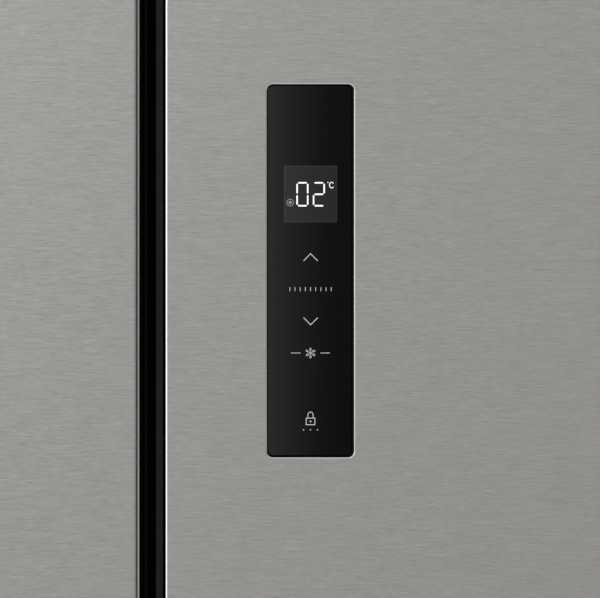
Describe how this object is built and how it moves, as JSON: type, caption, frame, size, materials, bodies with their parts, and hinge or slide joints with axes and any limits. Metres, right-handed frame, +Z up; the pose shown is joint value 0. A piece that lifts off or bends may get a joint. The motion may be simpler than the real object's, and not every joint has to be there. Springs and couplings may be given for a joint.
{
  "type": "american fridge freezer",
  "caption": "Side-by-side fridge freezer with brushed steel doors, recessed grips between them and a touch panel in the fridge door.",
  "frame": {"origin": "on the floor, under the middle of the bounding box", "axes": "+X to the right seen from the front, +Y to the back, +Z up; the doors face -Y"},
  "size_m": [0.908, 0.707, 1.787],
  "materials": {
    "steel_front": "horizontal hairline brushed stainless steel with a clear coat",
    "case_paint": "grey painted sheet steel",
    "rear_sheet": "pre-painted light grey sheet steel",
    "foam": "rigid insulating foam",
    "liner_white": "white moulded plastic",
    "zinc_steel": "galvanised steel",
    "dark_plastic": "dark grey moulded plastic",
    "black_plastic": "satin black moulded plastic",
    "shelf_glass": "clear toughened glass",
    "trim_plastic": "pale grey moulded plastic",
    "clear_plastic": "clear moulded plastic",
    "duct_plastic": "off-white moulded plastic",
    "lamp_plastic": "diffusing white plastic",
    "fin_aluminium": "bare aluminium",
    "motor_black": "black moulded plastic",
    "compressor_black": "black painted steel",
    "black_rubber": "black rubber",
    "seal_grey": "grey soft seal with a magnet strip inside",
    "condenser_paint": "black painted steel fins and tube",
    "copper_pipe": "bare copper",
    "tray_plastic": "white moulded plastic",
    "panel_glass": "black tinted glass",
    "display_black": "dark display module",
    "board_green": "green circuit board"
  },
  "bodies": {
    "cabinet": {"outer_case": "case_paint", "rear_panel": "rear_sheet", "cabinet_insulation": "foam", "freezer_liner": "liner_white", "fridge_liner": "liner_white", "divider_cover": "black_plastic", "chassis": "zinc_steel", "kickplate": "dark_plastic", "top_hinge_left": "zinc_steel", "top_hinge_right": "zinc_steel", "hinge_covers": "dark_plastic", "bottom_hinge_left": "zinc_steel", "bottom_hinge_right": "zinc_steel", "cabinet_screws": "zinc_steel", "freezer_shelves": "shelf_glass", "freezer_shelf_trims": "trim_plastic", "fridge_shelves": "shelf_glass", "fridge_shelf_trims": "trim_plastic", "freezer_duct_cover": "duct_plastic", "fridge_duct_cover": "duct_plastic", "interior_lamps": "lamp_plastic", "evaporator": "fin_aluminium", "evaporator_fan_motor": "motor_black", "compressor": "compressor_black", "compressor_grommets": "black_rubber", "condenser": "condenser_paint", "condenser_fan_frame": "motor_black", "refrigerant_pipes": "copper_pipe", "drip_tray": "tray_plastic", "power_board_box": "tray_plastic", "machine_cover": "motor_black", "mains_gland": "black_rubber"},
    "freezer_door": {"freezer_door_skin": "steel_front", "freezer_door_insulation": "foam", "freezer_door_liner": "liner_white", "freezer_door_seal": "seal_grey", "freezer_door_caps": "dark_plastic", "freezer_door_grip": "black_plastic", "freezer_door_bins": "clear_plastic"},
    "fridge_door": {"fridge_door_skin": "steel_front", "fridge_door_insulation": "foam", "fridge_door_liner": "liner_white", "fridge_door_seal": "seal_grey", "fridge_door_caps": "dark_plastic", "fridge_door_grip": "black_plastic", "fridge_door_bins": "clear_plastic", "control_housing": "black_plastic", "control_glass": "panel_glass", "display_module": "display_black", "control_board": "board_green"},
    "freezer_drawer_lower": {"freezer_drawer_lower": "clear_plastic"},
    "freezer_drawer_upper": {"freezer_drawer_upper": "clear_plastic"},
    "crisper_lower": {"crisper_lower": "clear_plastic"},
    "crisper_upper": {"crisper_upper": "clear_plastic"},
    "evaporator_fan": {"evaporator_fan": "motor_black"},
    "condenser_fan": {"condenser_fan": "motor_black"},
    "foot_left": {"foot_left": "dark_plastic"},
    "foot_right": {"foot_right": "dark_plastic"},
    "roller_left": {"roller_left": "dark_plastic"},
    "roller_right": {"roller_right": "dark_plastic"}
  },
  "joints": [
    {"name": "freezer_door_hinge", "type": "hinge", "parent": "cabinet", "child": "freezer_door", "pos_m": [-0.44, -0.3135, 0.906], "axis": [0, 0, -1], "range_deg": [0, 120]},
    {"name": "fridge_door_hinge", "type": "hinge", "parent": "cabinet", "child": "fridge_door", "pos_m": [0.44, -0.3135, 0.906], "axis": [0, 0, 1], "range_deg": [0, 120]},
    {"name": "freezer_drawer_lower_slide", "type": "slide", "parent": "cabinet", "child": "freezer_drawer_lower", "axis": [0, -1, 0], "range_m": [0, 0.22]},
    {"name": "freezer_drawer_upper_slide", "type": "slide", "parent": "cabinet", "child": "freezer_drawer_upper", "axis": [0, -1, 0], "range_m": [0, 0.22]},
    {"name": "crisper_lower_slide", "type": "slide", "parent": "cabinet", "child": "crisper_lower", "axis": [0, -1, 0], "range_m": [0, 0.22]},
    {"name": "crisper_upper_slide", "type": "slide", "parent": "cabinet", "child": "crisper_upper", "axis": [0, -1, 0], "range_m": [0, 0.22]},
    {"name": "evaporator_fan_spin", "type": "hinge", "parent": "cabinet", "child": "evaporator_fan", "pos_m": [-0.2465, 0.2215, 0.7443], "axis": [0, 1, 0], "continuous": true},
    {"name": "condenser_fan_spin", "type": "hinge", "parent": "cabinet", "child": "condenser_fan", "pos_m": [-0.04, 0.244, 0.118], "axis": [0, 1, 0], "continuous": true},
    {"name": "roller_left_spin", "type": "hinge", "parent": "cabinet", "child": "roller_left", "pos_m": [-0.4, 0.2905, 0.016], "axis": [1, 0, 0], "continuous": true},
    {"name": "roller_right_spin", "type": "hinge", "parent": "cabinet", "child": "roller_right", "pos_m": [0.4, 0.2905, 0.016], "axis": [1, 0, 0], "continuous": true},
    {"name": "foot_left_screw", "type": "slide", "parent": "cabinet", "child": "foot_left", "axis": [0, 0, -1], "range_m": [0, 0.012]},
    {"name": "foot_right_screw", "type": "slide", "parent": "cabinet", "child": "foot_right", "axis": [0, 0, -1], "range_m": [0, 0.012]}
  ],
  "couplings": [
    {"joint": "freezer_drawer_lower_slide", "follows": "freezer_door_hinge", "m_per_rad": 0.105},
    {"joint": "freezer_drawer_upper_slide", "follows": "freezer_door_hinge", "m_per_rad": 0.105},
    {"joint": "crisper_lower_slide", "follows": "fridge_door_hinge", "m_per_rad": 0.105},
    {"joint": "crisper_upper_slide", "follows": "fridge_door_hinge", "m_per_rad": 0.105}
  ]
}
